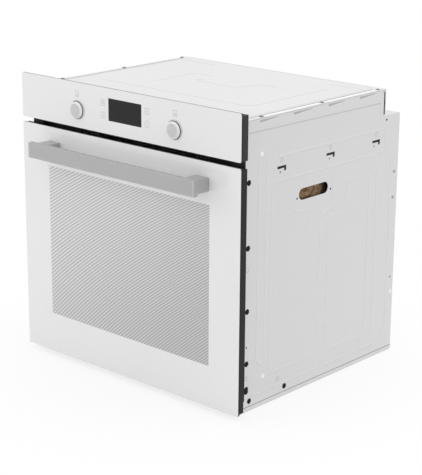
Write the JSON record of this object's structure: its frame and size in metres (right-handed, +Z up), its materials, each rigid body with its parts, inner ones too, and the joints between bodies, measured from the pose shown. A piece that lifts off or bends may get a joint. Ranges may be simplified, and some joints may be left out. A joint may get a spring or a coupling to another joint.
{
  "type": "wall oven",
  "caption": "Built-in electric oven with a white glass drop-down door, flat bar handle, pop-out knobs, display and a bare galvanised casing.",
  "frame": {"origin": "middle of the footprint at the underside of the base pan", "axes": "+X to the viewer's right, +Y from the door to the rear, +Z up"},
  "size_m": [0.595, 0.5666, 0.595],
  "materials": {
    "white_glass": "white back-printed glass, glossy",
    "clear_glass": "clear heat-resisting glass",
    "dark_glass": "dark display window, glossy",
    "black_paint": "satin black",
    "satin_metal": "satin anodised",
    "zinc_sheet": "galvanised sheet, dull",
    "enamel": "dark vitreous enamel, glossy",
    "chrome_wire": "chromed",
    "dark_steel": "dark steel",
    "seal_rubber": "dark silicone",
    "rock_wool": "brown mineral fibre",
    "circuit": "green board",
    "black_plastic": "moulded black",
    "ceramic": "unglazed ceramic"
  },
  "bodies": {
    "oven": {"air_duct": "zinc_sheet", "base_pan": "zinc_sheet", "blower_housing": "zinc_sheet", "bottom_element": "dark_steel", "control_panel_glass": "white_glass", "control_panel_housing": "black_plastic", "cooling_motor": "dark_steel", "display_board": "circuit", "display_lens": "dark_glass", "door_seal": "seal_rubber", "fan_cover": "enamel", "fan_motor": "dark_steel", "front_frame": "black_paint", "grill_element": "dark_steel", "hinge_arm_left": "dark_steel", "hinge_arm_right": "dark_steel", "hinge_pin_left": "chrome_wire", "hinge_pin_right": "chrome_wire", "lamp_lens": "clear_glass", "lamp_socket": "ceramic", "oven_cavity": "enamel", "rear_cover": "zinc_sheet", "rear_panel": "zinc_sheet", "ring_element": "dark_steel", "rock_wool": "rock_wool", "selector_switch": "black_plastic", "side_panel_left": "zinc_sheet", "side_panel_right": "zinc_sheet", "side_rack_left": "chrome_wire", "side_rack_right": "chrome_wire", "temperature_probe": "chrome_wire", "terminal_block": "ceramic", "terminal_cover": "black_plastic", "thermostat": "black_plastic", "top_cover": "zinc_sheet", "top_deck": "zinc_sheet"},
    "door": {"door_outer_glass": "white_glass", "door_middle_glass": "clear_glass", "door_inner_glass": "clear_glass", "door_pane_frame": "black_paint", "door_column_left": "black_paint", "door_column_right": "black_paint", "door_top_trim": "black_plastic", "door_handle_bar": "satin_metal", "handle_post_left": "satin_metal", "handle_post_right": "satin_metal", "handle_screw_left": "chrome_wire", "handle_screw_right": "chrome_wire", "hinge_case_left": "dark_steel", "hinge_case_right": "dark_steel"},
    "function_knob_slider": {"function_knob_sleeve": "black_plastic"},
    "function_knob": {"function_knob": "satin_metal", "function_knob_shaft": "chrome_wire"},
    "temperature_knob_slider": {"temperature_knob_sleeve": "black_plastic"},
    "temperature_knob": {"temperature_knob": "satin_metal", "temperature_knob_shaft": "chrome_wire"},
    "hot_air_fan": {"hot_air_fan": "chrome_wire"},
    "cooling_fan": {"cooling_impeller": "black_plastic"},
    "wire_shelf": {"wire_shelf": "chrome_wire"},
    "baking_tray": {"baking_tray": "enamel"}
  },
  "joints": [
    {"name": "door_hinge", "type": "hinge", "parent": "oven", "child": "door", "pos_m": [0, -0.22285, 0.018], "axis": [1, 0, 0], "range_deg": [0, 90]},
    {"name": "function_knob_push", "type": "slide", "parent": "oven", "child": "function_knob_slider", "axis": [0, -1, 0], "range_m": [0, 0.014]},
    {"name": "function_knob_turn", "type": "hinge", "parent": "function_knob_slider", "child": "function_knob", "pos_m": [-0.132, -0.23385, 0.54], "axis": [0, 1, 0], "continuous": true},
    {"name": "temperature_knob_push", "type": "slide", "parent": "oven", "child": "temperature_knob_slider", "axis": [0, -1, 0], "range_m": [0, 0.014]},
    {"name": "temperature_knob_turn", "type": "hinge", "parent": "temperature_knob_slider", "child": "temperature_knob", "pos_m": [0.132, -0.23385, 0.54], "axis": [0, 1, 0], "range_deg": [0, 270]},
    {"name": "hot_air_fan_spin", "type": "hinge", "parent": "oven", "child": "hot_air_fan", "pos_m": [0, 0.19615, 0.257], "axis": [0, 1, 0], "continuous": true},
    {"name": "cooling_fan_spin", "type": "hinge", "parent": "oven", "child": "cooling_fan", "pos_m": [0, 0.06115, 0.47], "axis": [0, 0, 1], "continuous": true},
    {"name": "shelf_slide", "type": "slide", "parent": "oven", "child": "wire_shelf", "axis": [0, -1, 0], "range_m": [0, 0.024]},
    {"name": "tray_slide", "type": "slide", "parent": "oven", "child": "baking_tray", "axis": [0, -1, 0], "range_m": [0, 0.024]}
  ]
}
